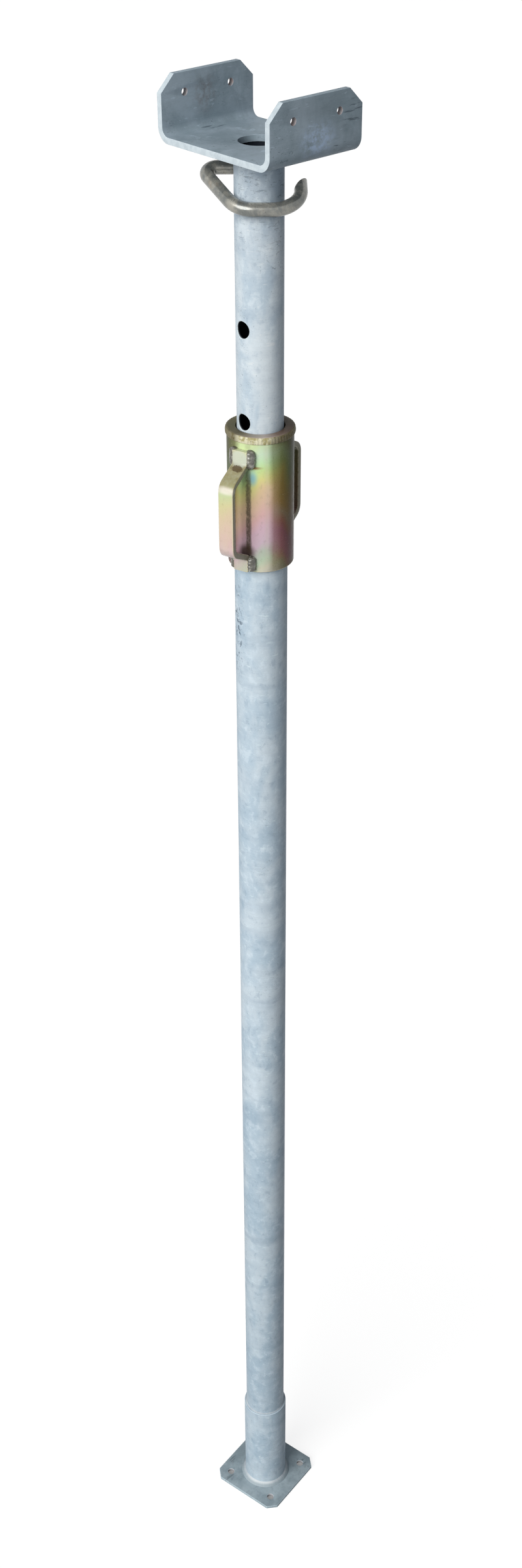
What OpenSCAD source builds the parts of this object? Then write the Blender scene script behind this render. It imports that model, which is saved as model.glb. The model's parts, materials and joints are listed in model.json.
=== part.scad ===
// Adjustable steel prop with a U head, a closed screw nut and a G-hook pin.
// Sizes are in millimetres. The floor is z = 0 and the tubes stand on the Z axis.

/* [Base plate] */
// Side of the square plate
base_side = 116; // [110:1:140]
// Thickness of the plate
base_thick = 5; // [4:0.5:8]
// How far each corner is cut back along the sides
base_corner = 12; // [8:1:18]
// Diameter of the four fixing holes
base_hole = 10; // [7:0.5:12]
// Distance between neighbouring fixing holes
base_hole_gap = 79; // [76:1:84]
// How far the base is turned against the head, in degrees
base_turn = 11; // [-45:1:45]
// Leg of the weld between the base sleeve and the plate
base_weld_leg = 6; // [4:0.5:8]

/* [Base sleeve] */
// Length of the sleeve that holds the outer tube
sleeve_length = 175; // [120:5:250]
// Wall of the sleeve
sleeve_wall = 3; // [2.5:0.25:4]

/* [Outer tube] */
// Outside diameter of the outer tube
outer_d = 57; // [56:0.5:60]
// Wall of the outer tube
outer_wall = 2.9; // [2.3:0.1:3.2]
// Length of the outer tube, standing on the plate
outer_length = 1730; // [1600:10:1760]

/* [Inner tube] */
// Outside diameter of the inner tube
inner_d = 48.3; // [46:0.1:49]
// Wall of the inner tube
inner_wall = 2.9; // [2.3:0.1:3.2]
// Length of the inner tube
inner_length = 2018.7; // [2000:0.1:2100]
// Diameter of the pin holes
pin_hole = 17; // [15:0.5:18]
// Distance from one pin hole to the next
pin_hole_pitch = 94; // [84:1:100]
// Number of pin holes
pin_hole_count = 17; // [8:1:17]
// From the head down to the first pin hole
first_pin_hole = 166; // [150:0.5:180]
// How far the pin holes are turned from the channel of the head, in degrees
pin_hole_turn = 2; // [-20:1:20]

/* [U head] */
// Length of the channel
head_length = 114; // [100:1:130]
// Width over both flanges
head_width = 156; // [140:1:180]
// Height over all
head_height = 58; // [54:1:80]
// Thickness of the bent plate
head_thick = 6; // [5:0.5:8]
// Inside radius of the bends
head_bend = 8; // [5:0.5:10]
// Corner cut of the flanges, along the top edge
head_cut_long = 16; // [10:1:18]
// Corner cut of the flanges, down the end
head_cut_down = 15; // [10:1:18]
// Diameter of the hole in the middle of the seat
centre_hole = 40; // [30:0.5:41]
// Diameter of the nail holes
nail_hole = 7; // [5:0.5:9]
// Distance between the two nail holes of a flange
nail_gap = 57; // [44:1:62]
// Height of the nail holes above the seat
nail_height = 34.5; // [26:0.5:36]
// Leg of the weld between the tube and the head
head_weld_leg = 5; // [3:0.5:6]

/* [Nut] */
// Outside diameter of the nut
nut_d = 70; // [69:0.5:76]
// Height of the nut with its top ring
nut_length = 149; // [145:1:165]
// Thickness of the top ring
ring_thick = 6; // [5:0.5:8]
// Height of the threaded part at the bottom of the nut
thread_length = 38; // [30:1:45]
// Free height above the outer tube, under the top ring, with the nut at its lowest
nut_spare = 14; // [8:1:30]

/* [Handles] */
// Width of the flat bar
handle_width = 17.5; // [16:0.5:22]
// Thickness of the flat bar
handle_thick = 6; // [4:0.5:6]
// Length of each foot on the nut
handle_foot = 15.5; // [14:0.5:18]
// Straight part that the hand holds
handle_grip = 73; // [64:1:76]
// Clear space for the fingers behind the grip
handle_space = 28; // [20:0.5:32]
// How far the handles are turned from the channel of the head, in degrees
handle_turn = 16.8; // [-40:0.2:40]

/* [G-hook] */
// Diameter of the rod
rod_d = 13; // [11:0.5:14]
// How far the hook leans down at the front, in degrees
hook_lean = 19.5; // [10:0.5:22]
// How far the hook is turned round the tube, in degrees
hook_turn = -42; // [-60:1:60]
// Middle of the hook below the head
hook_drop = 37; // [34:0.5:60]
// Free end past the last bend
hook_tip = 8; // [7.5:0.5:14]

/* [Hidden] */
$fn = 72;

// clearances
seat_gap = 0.3;        // the foot of the inner tube above the plate
press_gap = 0.25;      // the outer tube in the base sleeve, on the radius
turn_gap = 0.05;       // pieces that turn against each other face to face
thread_gap = 0.35;     // the thread of the nut round the outer tube, on the radius
skirt_gap = 1.6;       // the smooth bore of the nut round the outer tube, on the radius
hook_gap = 0.35;       // the hook round the inner tube
weld_gap = 0.05;       // a weld bead against what it joins

// heights
outer_top = base_thick + outer_length;
seat_under = base_thick + seat_gap + inner_length;   // underside of the head plate
seat_top = seat_under + head_thick;                  // where the load lies
head_top = seat_under + head_height;
ring_low = outer_top + nut_spare;
ring_high = ring_low + ring_thick;
nut_low = ring_high - nut_length;

// radii
sleeve_bore_r = outer_d / 2 + press_gap;
sleeve_r = sleeve_bore_r + sleeve_wall;
outer_bore_r = outer_d / 2 - outer_wall;
inner_r = inner_d / 2;
nut_r = nut_d / 2;
ring_bore_r = outer_bore_r + 0.1;
skirt_bore_r = outer_d / 2 + skirt_gap;
thread_bore_r = outer_d / 2 + thread_gap;

zinc = [0.66, 0.69, 0.72];
dark_zinc = [0.45, 0.50, 0.54];
yellow_zinc = [0.68, 0.64, 0.42];
bare_steel = [0.42, 0.40, 0.37];

// ---------- helpers ----------

module pipe(outside_r, bore_r, length) {
  difference() {
    cylinder(r = outside_r, h = length);
    translate([0, 0, -1]) cylinder(r = bore_r, h = length + 2);
  }
}

// a triangular weld bead round a tube, its foot on z = 0
module ring_weld(tube_r, leg) {
  rotate_extrude()
    polygon([[tube_r, 0], [tube_r + leg, 0], [tube_r + leg * 0.92, leg * 0.22],
             [tube_r + leg * 0.22, leg * 0.92], [tube_r, leg]]);
}

// ---------- base ----------

module base_plate() {
  color(zinc)
    rotate([0, 0, base_turn])
      difference() {
        linear_extrude(base_thick)
          polygon([for (quarter = [0:3], side = [-1, 1])
            let (a = quarter * 90, along = side * (base_side / 2 - base_corner), out = base_side / 2)
            [out * cos(a) - along * sin(a), out * sin(a) + along * cos(a)]]);
        for (x = [-1, 1], y = [-1, 1])
          translate([x * base_hole_gap / 2, y * base_hole_gap / 2, -1])
            cylinder(d = base_hole, h = base_thick + 2);
      }
}

module base_weld() {
  color(zinc)
    translate([0, 0, base_thick]) ring_weld(sleeve_r, base_weld_leg);
}

module base_sleeve() {
  color(zinc)
    translate([0, 0, base_thick]) pipe(sleeve_r, sleeve_bore_r, sleeve_length);
}

// ---------- tubes ----------

module outer_tube() {
  color(zinc)
    translate([0, 0, base_thick]) pipe(outer_d / 2, outer_bore_r, outer_length);
}

module inner_tube() {
  color(zinc)
    difference() {
      translate([0, 0, base_thick + seat_gap]) pipe(inner_r, inner_r - inner_wall, inner_length);
      for (i = [0:pin_hole_count - 1])
        translate([0, 0, seat_under - first_pin_hole - i * pin_hole_pitch])
          rotate([0, 0, pin_hole_turn]) rotate([0, 90, 0])
            cylinder(d = pin_hole, h = inner_d + 10, center = true);
    }
}

// ---------- head ----------

module head_weld() {
  color(dark_zinc)
    translate([0, 0, seat_under - turn_gap]) mirror([0, 0, 1])
      ring_weld(inner_r + turn_gap, head_weld_leg);
}

// a block with its two lower corners rounded, seen along the channel
module round_foot_block(half, high, radius) {
  for (side = [0, 1])
    mirror([side, 0]) {
      translate([-1, radius]) square([half + 1, high - radius]);
      translate([-1, 0]) square([half + 1 - radius, high]);
      translate([half - radius, radius]) circle(r = radius);
    }
}

module u_profile() {
  difference() {
    round_foot_block(head_width / 2, head_height, head_bend + head_thick);
    translate([0, head_thick])
      round_foot_block(head_width / 2 - head_thick, head_height, head_bend);
  }
}

// side view of the head with its four cut corners
module head_side_view() {
  half = head_length / 2;
  polygon([[-half, -1], [half, -1], [half, head_height - head_cut_down],
           [half - head_cut_long, head_height], [-half + head_cut_long, head_height],
           [-half, head_height - head_cut_down]]);
}

module head_bracket() {
  color(dark_zinc)
    translate([0, 0, seat_under])
      difference() {
        intersection() {
          rotate([90, 0, 90]) linear_extrude(head_length, center = true) u_profile();
          rotate([90, 0, 0]) linear_extrude(head_width + 2, center = true) head_side_view();
        }
        translate([0, 0, -1]) cylinder(d = centre_hole, h = head_thick + 2);
        for (x = [-1, 1])
          translate([x * nail_gap / 2, 0, head_thick + nail_height]) rotate([90, 0, 0])
            cylinder(d = nail_hole, h = head_width + 10, center = true);
      }
}

// ---------- nut ----------

module nut_top_ring() {
  color(yellow_zinc)
    translate([0, 0, ring_low]) pipe(nut_r, ring_bore_r, ring_thick);
}

module nut_ring_weld() {
  color(yellow_zinc)
    translate([0, 0, ring_low])
      rotate_extrude()
        polygon([[nut_r + weld_gap, -2], [nut_r + 0.8, -1.4], [nut_r + 1.2, 0.4],
                 [nut_r + 1.3, 2.6], [nut_r + 1, 4], [nut_r + 0.25, 4.8],
                 [nut_r + weld_gap + 0.15, 0], [nut_r + weld_gap, 0]]);
}

module nut_sleeve() {
  color(yellow_zinc)
    translate([0, 0, nut_low])
      difference() {
        cylinder(r = nut_r, h = nut_length - ring_thick - turn_gap);
        translate([0, 0, -1]) cylinder(r = thread_bore_r, h = nut_length);
        translate([0, 0, thread_length]) cylinder(r = skirt_bore_r, h = nut_length);
      }
}

// ---------- handles ----------

handle_near = nut_r + weld_gap;                       // inside face of the feet
handle_far = nut_r + handle_space;                    // inside face of the grip
handle_rise = (nut_length - ring_thick - handle_grip - 2 * handle_foot - 10.5) / 2;
handle_low = nut_low + 2.4;
handle_high = handle_low + 2 * handle_foot + 2 * handle_rise + handle_grip;

// points on the edge of a bar that is bent along a path, to one side of its middle
function unit(v) = v / norm(v);
function left_of(v) = [-v[1], v[0]];
function bend_points(before, corner, after, radius, aside, steps = 6) =
  let (u = unit(corner - before), w = unit(after - corner),
       turn = atan2(u[0] * w[1] - u[1] * w[0], u * w),
       side = turn > 0 ? 1 : -1,
       centre = corner - u * radius * tan(abs(turn) / 2) + left_of(u) * radius * side,
       start = -left_of(u) * side * (radius - side * aside))
  [for (k = [0:steps]) let (a = turn * k / steps)
    centre + [start[0] * cos(a) - start[1] * sin(a), start[0] * sin(a) + start[1] * cos(a)]];
function bar_edge(path, radii, aside) =
  let (last = len(path) - 1,
       first_dir = unit(path[1] - path[0]), last_dir = unit(path[last] - path[last - 1]))
  concat([path[0] + left_of(first_dir) * aside],
    [for (i = [1:last - 1]) each bend_points(path[i - 1], path[i], path[i + 1], radii[i], aside)],
    [path[last] + left_of(last_dir) * aside]);
function backwards(list) = [for (i = [len(list) - 1:-1:0]) list[i]];

module handle() {
  near = handle_near + handle_thick / 2;
  far = handle_far + handle_thick / 2;
  path = [[near, handle_low], [near, handle_low + handle_foot],
          [far, handle_low + handle_foot + handle_rise],
          [far, handle_low + handle_foot + handle_rise + handle_grip],
          [near, handle_high - handle_foot], [near, handle_high]];
  bends = [0, 6.5, 11, 11, 6.5];
  rotate([90, 0, 0])
    linear_extrude(handle_width, center = true)
      polygon(concat(bar_edge(path, bends, handle_thick / 2),
                     backwards(bar_edge(path, bends, -handle_thick / 2))));
}

module left_handle() { color(yellow_zinc) rotate([0, 0, 180 + handle_turn]) handle(); }
module right_handle() { color(yellow_zinc) rotate([0, 0, handle_turn]) handle(); }

// one bead in the corner between a foot of a handle and the round nut
module foot_weld(turn, low, side, long) {
  bead_r = 5.6;
  rotate([0, 0, turn])
    difference() {
      translate([handle_near + 0.3, side * (handle_width / 2 + 0.6), low])
        rotate_extrude($fn = 32)
          polygon([[0, 0], [bead_r * 0.55, 0.7], [bead_r * 0.9, 2.2], [bead_r, 4.4],
                   [bead_r, long - 4.4], [bead_r * 0.9, long - 2.2],
                   [bead_r * 0.55, long - 0.7], [0, long]]);
      translate([0, 0, low - 1]) cylinder(r = nut_r + weld_gap, h = long + 2);
      translate([nut_r - 5, -handle_width / 2 - weld_gap, low - 1])
        cube([20, handle_width + 2 * weld_gap, long + 2]);
    }
}

top_long = handle_foot + 5.5;               // the upper beads run past the foot
top_bead = handle_high + 1.8 - top_long;
low_long = handle_foot + 3;
low_bead = handle_low - 1.2;
left = 180 + handle_turn;
right = handle_turn;
module left_top_weld_front() { color(yellow_zinc) foot_weld(left, top_bead, 1, top_long); }
module left_top_weld_rear() { color(yellow_zinc) foot_weld(left, top_bead, -1, top_long); }
module left_foot_weld_front() { color(yellow_zinc) foot_weld(left, low_bead, 1, low_long); }
module left_foot_weld_rear() { color(yellow_zinc) foot_weld(left, low_bead, -1, low_long); }
module right_top_weld_front() { color(yellow_zinc) foot_weld(right, top_bead, -1, top_long); }
module right_top_weld_rear() { color(yellow_zinc) foot_weld(right, top_bead, 1, top_long); }
module right_foot_weld_front() { color(yellow_zinc) foot_weld(right, low_bead, -1, low_long); }
module right_foot_weld_rear() { color(yellow_zinc) foot_weld(right, low_bead, 1, low_long); }

// ---------- G-hook ----------

// The rod's middle line, as [x, y, heading], from steps of
// [straight length, bend radius, bend angle to the left].
function walk(steps, x, y, heading, i = 0) =
  i >= len(steps) ? [] :
  let (radius = steps[i][1], angle = steps[i][2], count = ceil(angle / 11),
       x1 = x + steps[i][0] * cos(heading), y1 = y + steps[i][0] * sin(heading),
       bend = angle > 0
         ? [for (k = [1:count]) let (h = heading + angle * k / count)
             [x1 + radius * (sin(h) - sin(heading)), y1 - radius * (cos(h) - cos(heading)), h]]
         : [],
       last = angle > 0 ? bend[count - 1] : [x1, y1, heading])
  concat([[x1, y1, heading]], bend, walk(steps, last[0], last[1], last[2], i + 1));

// a round rod along such a line
module rod(line, diameter, shear, sides = 20) {
  rings = len(line);
  points = [for (j = [0:rings - 1], k = [0:sides - 1])
    let (p = line[j], a = k * 360 / sides, out = diameter / 2 * cos(a),
         on = j == rings - 1 ? -shear * cos(a) : 0)
    [p[0] - out * sin(p[2]) + on * cos(p[2]), p[1] + out * cos(p[2]) + on * sin(p[2]),
     diameter / 2 * sin(a)]];
  walls = [for (j = [0:rings - 2], k = [0:sides - 1])
    let (a = j * sides + k, b = j * sides + (k + 1) % sides)
    each [[a, a + sides, b + sides], [a, b + sides, b]]];
  ends = [[for (k = [0:sides - 1]) k],
          [for (k = [sides - 1:-1:0]) (rings - 1) * sides + k]];
  polyhedron(points, concat(walls, ends));
}

hook_reach = (inner_r + rod_d / 2 + hook_gap) / cos(hook_lean);  // tube axis to rod, in its plane
hook_start = 18;         // the straight end, behind the tube
hook_back = 58;          // straight part behind the tube
hook_corner_r = 10;      // bend at the left
hook_slant = 61;         // how steeply the left side runs to the front
hook_front_r = 28;       // bends at the front
hook_front = 15.5;       // straight part in front
hook_end_turn = 92;      // bend up to the free end
hook_shear = 6.8;        // the free end is sheared at a slant, longest on the outside
hook_side = (2 * hook_reach - hook_corner_r * (1 + cos(hook_slant))
             - hook_front_r * (1 - cos(hook_slant))) / sin(hook_slant);

module g_hook() {
  color(bare_steel)
    translate([0, 0, seat_under - hook_drop])
      rotate([0, 0, hook_turn]) rotate([hook_lean, 0, 0])
        rod(concat([[hook_start, hook_reach, 180]],
                   walk([[hook_back, hook_corner_r, 180 - hook_slant],
                         [hook_side, hook_front_r, hook_slant],
                         [hook_front, hook_front_r, hook_end_turn],
                         [hook_tip, 0, 0]], hook_start, hook_reach, 180)), rod_d, hook_shear);
}

// ---------- what is drawn ----------

base_plate();
base_weld();
base_sleeve();
outer_tube();
inner_tube();
head_weld();
head_bracket();
nut_top_ring();
nut_ring_weld();
nut_sleeve();
left_handle();
right_handle();
left_top_weld_front();
left_top_weld_rear();
left_foot_weld_front();
left_foot_weld_rear();
right_top_weld_front();
right_top_weld_rear();
right_foot_weld_front();
right_foot_weld_rear();
g_hook();
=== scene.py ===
# %% [markdown]
# # Dressing an adjustable steel prop
# A steel prop is two tubes, one in the other, with a U head on top and a
# square foot below. A pin through one of the holes holds the rough height, and
# a big nut with two handles sets the fine height. The frame holds the plain
# solids of all that. Here every piece gets the rims, weld beads and thread
# that the plain solids leave out, and a finish: dull galvanising, bright zinc,
# yellow passivated zinc and bare bar steel. Work is in metres.

# %% Load the fixed frame
import json
import math
import bpy
import bmesh
from mathutils import Matrix, Vector


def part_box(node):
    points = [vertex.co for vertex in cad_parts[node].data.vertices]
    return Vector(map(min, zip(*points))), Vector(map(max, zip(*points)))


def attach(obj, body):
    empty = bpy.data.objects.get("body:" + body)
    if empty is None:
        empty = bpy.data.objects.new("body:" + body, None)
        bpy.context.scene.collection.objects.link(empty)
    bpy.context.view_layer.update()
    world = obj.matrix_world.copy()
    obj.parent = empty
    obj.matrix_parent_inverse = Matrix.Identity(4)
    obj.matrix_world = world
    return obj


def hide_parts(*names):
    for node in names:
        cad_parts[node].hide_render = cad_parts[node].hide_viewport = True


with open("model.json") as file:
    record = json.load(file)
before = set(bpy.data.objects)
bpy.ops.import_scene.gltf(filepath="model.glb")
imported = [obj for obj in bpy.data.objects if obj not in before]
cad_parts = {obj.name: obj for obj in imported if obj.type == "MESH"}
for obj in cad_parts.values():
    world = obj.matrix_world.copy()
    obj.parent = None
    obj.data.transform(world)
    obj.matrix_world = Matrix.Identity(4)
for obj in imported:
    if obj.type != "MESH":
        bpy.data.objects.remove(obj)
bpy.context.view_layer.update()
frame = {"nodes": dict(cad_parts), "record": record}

print("nodes:", ", ".join(sorted(frame["nodes"])))

# %% [markdown]
# ## The camera
# The prop is seen from above its head, by somebody on a ladder. The camera
# stands off one corner of the head and looks down by nearly 38 degrees. The
# head and the foot then reach almost to the two ends of a tall picture. A
# small vertical shift keeps both in, without tipping the camera further.

# %% Camera
def placed(name, data):
    """A new object in the scene."""
    made = bpy.data.objects.new(name, data)
    bpy.context.collection.objects.link(made)
    return made


def turned(vector, degrees):
    return Matrix.Rotation(math.radians(degrees), 3, "Z") @ Vector(vector)


def make_camera(azimuth=-41.69, away=1.7763, height=2.4726, yaw=-0.073,
                tilt=37.551, roll=-0.33):
    y, t, r = math.radians(yaw), math.radians(tilt), math.radians(roll)
    ahead = Vector((math.sin(y) * math.cos(t), math.cos(y) * math.cos(t), -math.sin(t)))
    right = Vector((math.cos(y), -math.sin(y), 0))
    up = right.cross(ahead)
    right, up = (right * math.cos(r) + up * math.sin(r), up * math.cos(r) - right * math.sin(r))
    axes = Matrix((turned(right, azimuth), turned(up, azimuth), turned(-ahead, azimuth)))
    lens = bpy.data.cameras.new("ladder camera")
    lens.sensor_fit = "VERTICAL"
    lens.sensor_height = 36
    lens.lens = 41.39
    lens.shift_y = 0.0907
    lens.clip_start, lens.clip_end = 0.05, 60
    camera = placed("ladder camera", lens)
    camera.matrix_world = (Matrix.Translation(turned((0, -away, height), azimuth))
                           @ axes.transposed().to_4x4())
    bpy.context.scene.camera = camera
    return camera


camera = make_camera()
print("camera at", tuple(round(v, 3) for v in camera.matrix_world.translation))

# %% [markdown]
# ## Sizes that come from the frame
# Every height is read from the solids, so the looks follow the CAD. The pin
# holes come from the two pin mounts: their distance is the pitch of the row,
# and their axis says how far the row is turned.

# %% Read the sizes
def span(node):
    """Foot, top and outside radius of a piece that is round about the Z axis."""
    low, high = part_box(node)
    return low.z, high.z, high.x


mounts = {m["name"]: m for m in frame["record"]["mounts"]}
pin_axis = Vector(mounts["pin_hole_upper"]["axis"])
pin_radius = mounts["pin_hole_upper"]["dims"]["r_mm"] / 1000
first_pin = mounts["pin_hole_upper"]["pos_m"][2]
pin_pitch = first_pin - mounts["pin_hole_at_nut"]["pos_m"][2]
pin_turn = math.atan2(-pin_axis.y, -pin_axis.x)
pin_count = 17
print(f"pin holes: {pin_count}, {pin_pitch * 1000:.0f} mm apart, "
      f"turned {math.degrees(pin_turn):.1f} degrees")

# %% [markdown]
# ## Helpers for shapes
# Nearly every part of a prop is either turned round an axis or a bar of one
# section that follows a bent line. Three helpers are enough. One rounds the
# corners of an outline, one turns an outline round the Z axis, and one sweeps
# an outline along a path. Each face on a rounded corner is marked with the
# attribute "edge", so a finish can show bare metal from wear and a painted
# highlight just there.

# %% Round the corners of an outline
def arc(before, corner, after, radius, steps):
    """Points of the round corner that touches both sides, as (x, y)."""
    here = Vector(corner)
    back, on = (Vector(before) - here).normalized(), (Vector(after) - here).normalized()
    half = back.angle(on) / 2
    reach = min(radius / math.tan(half), 0.48 * (Vector(before) - here).length,
                0.48 * (Vector(after) - here).length)
    centre = here + (back + on).normalized() * reach / math.cos(half)
    first, last = here + back * reach - centre, here + on * reach - centre
    sweep = math.atan2(first.cross(last), first.dot(last))
    turns = [sweep * k / steps for k in range(steps + 1)]
    return [(centre.x + first.x * math.cos(a) - first.y * math.sin(a),
             centre.y + first.x * math.sin(a) + first.y * math.cos(a)) for a in turns]


def rounded(corners, radius, steps=4):
    """A closed outline of (x, y, mark); points with the same mark share an arc."""
    points = []
    for i, (x, y, *own) in enumerate(corners):
        before, after = corners[i - 1][:2], corners[(i + 1) % len(corners)][:2]
        turn = arc(before, (x, y), after, own[0] if own else radius, steps)
        points += [(*point, i + 1) for point in turn]
    return points


print("a rounded square has", len(rounded([(0, 0), (1, 0), (1, 1), (0, 1)], 0.1)), "points")

# %% Turn a mesh into a finished piece
SEWN = 2e-6                            # points nearer than this are one


def smooth(mesh, sharp):
    """Shades smooth, except at corners sharper than so many degrees."""
    mesh.polygons.foreach_set("use_smooth", [True] * len(mesh.polygons))
    mesh.set_sharp_from_angle(angle=math.radians(sharp))


def new_piece(name, bm, sharp=38, fix=True):
    """Closes seams; with fix it also points the faces outwards."""
    bmesh.ops.remove_doubles(bm, verts=bm.verts, dist=SEWN)
    if fix:
        bmesh.ops.recalc_face_normals(bm, faces=bm.faces)
    mesh = bpy.data.meshes.new(name)
    bm.to_mesh(mesh)
    bm.free()
    smooth(mesh, sharp)
    return placed(name, mesh)


def report(piece):
    heights = [v.co.z for v in piece.data.vertices]
    print(f"{piece.name}: {len(piece.data.polygons)} faces, "
          f"z {min(heights) * 1000:.1f} to {max(heights) * 1000:.1f} mm")
    return piece


# %% Turn an outline round the Z axis
SEAM = 138.0                           # degrees; columns meet at the left, as the camera sees it


def polar(radius, angle):
    """The point (x, y) at an angle round the Z axis."""
    return radius * math.cos(angle), radius * math.sin(angle)


def lathe(name, outline, around=144):
    """outline is closed, of (radius, height, mark)."""
    bm = bmesh.new()
    edge = bm.faces.layers.float.new("edge")
    rings = []
    for i in range(around):
        a = math.radians(SEAM) + math.tau * i / around
        rings.append([bm.verts.new((*polar(r, a), z)) for r, z, _ in outline])
    for i, ring in enumerate(rings):
        beside = rings[(i + 1) % around]
        for j, point in enumerate(outline):
            k = (j + 1) % len(outline)
            face = bm.faces.new((ring[j], beside[j], beside[k], ring[k]))
            face[edge] = float(point[2] > 0 and point[2] == outline[k][2])
    return report(new_piece(name, bm))


# %% Sweep a section along a line
def sweep(name, frames, section, close_up=0.0006, slant=0.0):
    """frames are (middle, across, up); section is closed, of (across, up, mark).
    The last ring at each end is drawn in a little, which rounds the cut end.
    A slant cuts the far end askew, so that its upper side is the longest."""
    bm = bmesh.new()
    edge = bm.faces.layers.float.new("edge")
    first, last = frames[0], frames[-1]
    ahead = lambda f: f[1].cross(f[2])
    plan = ([(first, close_up), ((first[0] + ahead(first) * close_up, *first[1:]), 0)]
            + [(f, 0) for f in frames[1:-1]]
            + [((last[0] - ahead(last) * close_up, *last[1:]), 0), (last, close_up)])
    rings = []
    for n, ((middle, across, up), draw_in) in enumerate(plan):
        skew = across.cross(up) * (slant if n > len(plan) - 3 else 0)
        ring = []
        for a, b, _ in section:
            size = math.hypot(a, b)
            keep = (size - draw_in) / size
            ring.append(bm.verts.new(middle + across * a * keep + (up + skew) * b * keep))
        rings.append(ring)
    for i in range(len(rings) - 1):
        for j, point in enumerate(section):
            k = (j + 1) % len(section)
            face = bm.faces.new((rings[i][j], rings[i][k], rings[i + 1][k], rings[i + 1][j]))
            on_arc = point[2] > 0 and point[2] == section[k][2]
            face[edge] = float(on_arc or i in (0, len(rings) - 2))
    bm.faces.new(rings[0])
    bm.faces.new(rings[-1])
    return report(new_piece(name, bm))


# %% [markdown]
# ## Helpers for node trees
# Both the finishes and the Geometry Nodes below are built in code. One helper
# adds a node and fills its inputs, another makes a geometry tree with named
# inputs, and a third runs such a tree once and keeps the plain mesh. The
# modifier's inputs are set by the identifier of each socket, because that
# stays the same when a name is changed.

# %% Add a node
def add(tree, kind, values=None, **settings):
    """values maps an input's name or number to a value, or to a socket to link."""
    made = tree.nodes.new(kind)
    for key, value in settings.items():
        setattr(made, key, value)
    for key, value in (values or {}).items():
        if isinstance(value, bpy.types.NodeSocket):
            tree.links.new(value, made.inputs[key])
        else:
            made.inputs[key].default_value = value
    return made


def maths(tree, what, a, b=0.0, c=0.0):
    return add(tree, "ShaderNodeMath", {0: a, 1: b, 2: c}, operation=what).outputs[0]


def mixed(tree, how_much, first, second, blend="MIX"):
    """first and second are colours or sockets."""
    values = [v if isinstance(v, bpy.types.NodeSocket) else (*v, 1) for v in (first, second)]
    return add(tree, "ShaderNodeMix", dict(zip((0, 6, 7), (how_much, *values))),
               data_type="RGBA", blend_type=blend).outputs[2]


# %% Make a geometry tree
KINDS = {"object": "NodeSocketObject", "material": "NodeSocketMaterial",
         "number": "NodeSocketFloat", "count": "NodeSocketInt"}


def new_tree(name, **inputs):
    tree = bpy.data.node_groups.new(name, "GeometryNodeTree")
    for way in ("OUTPUT", "INPUT"):
        tree.interface.new_socket(name="Geometry", in_out=way, socket_type="NodeSocketGeometry")
    for key, kind in inputs.items():
        tree.interface.new_socket(name=key.replace("_", " "), in_out="INPUT",
                                  socket_type=KINDS[kind])
    return tree, tree.nodes.new("NodeGroupInput").outputs


def shape_of(tree, socket):
    return add(tree, "GeometryNodeObjectInfo", {"Object": socket}).outputs["Geometry"]


def curve_of(tree, socket):
    return add(tree, "GeometryNodeMeshToCurve", {0: shape_of(tree, socket)}).outputs[0]


def end_tree(tree, geometry, finish):
    real = add(tree, "GeometryNodeRealizeInstances", {"Geometry": geometry})
    last = add(tree, "GeometryNodeSetMaterial", {"Geometry": real.outputs[0], "Material": finish})
    tree.links.new(last.outputs[0], tree.nodes.new("NodeGroupOutput").inputs[0])
    print(tree.name, "has", len(tree.nodes), "nodes")
    return tree


print("inputs of a tree:", ", ".join(KINDS))

# %% Run a tree on guide lines
def run_tree(tree, name, **values):
    """Runs the tree on an empty host and returns the result as a plain piece."""
    host = placed("host", bpy.data.meshes.new("host"))
    modifier = host.modifiers.new("tree", "NODES")
    modifier.node_group = tree
    sockets = {s.name: s.identifier for s in tree.interface.items_tree if s.in_out == "INPUT"}
    for key, value in values.items():
        modifier[sockets[key.replace("_", " ")]] = value
    graph = bpy.context.evaluated_depsgraph_get()
    mesh = bpy.data.meshes.new_from_object(host.evaluated_get(graph), depsgraph=graph)
    host.modifiers.remove(modifier)
    bpy.data.objects.remove(host)
    mesh.name = name
    return placed(name, mesh)


def numbers(mesh, name, domain, values):
    """Keeps a number on each point or face, for a finish to read."""
    mesh.attributes.new(name, "FLOAT", domain).data.foreach_set("value", values)


def guide(name, lines, **marks):
    """A hidden mesh of lines for a tree to follow; marks are numbers on its points."""
    mesh = bpy.data.meshes.new(name)
    points, edges = [], []
    for line, closed in lines:
        base = len(points)
        points += [tuple(p) for p in line]
        edges += [(base + i, base + i + 1) for i in range(len(line) - 1)]
        if closed:
            edges.append((base + len(line) - 1, base))
    mesh.from_pydata(points, edges, [])
    for key, values in marks.items():
        numbers(mesh, key, "POINT", values)
    return placed(name, mesh)


def put_away(*made):
    for thing in made:
        bpy.data.objects.remove(thing)


print("helpers for node trees are ready")

# %% [markdown]
# ## Finishes
# All zinc on a prop is worn and patchy, so no finish is one flat colour. It
# could be painted on an image, but noise in Object coordinates needs no
# unwrapping and sticks to the piece when it moves. Coats of colour go on one
# over the other: wide, soft noise makes the clouds of hot-dip zinc, and fine
# noise, drawn out sideways, makes the short scratches that run round a tube.
# The "edge" attribute shows bare metal from wear and a painted highlight on
# corners, and "bore" marks the walls of nail and bolt holes.

# %% Colours
def shade(red, green, blue):
    """A colour as it looks on a screen, from 0 to 255, turned into light values."""
    return tuple(((v / 255 + 0.055) / 1.055) ** 2.4 if v > 10 else v / 3294.6
                 for v in (red, green, blue))


def brighter(colour, times):
    return tuple(min(1, c * times) for c in colour)


print("middle grey is", round(shade(128, 128, 128)[0], 3), "of white")

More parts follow.
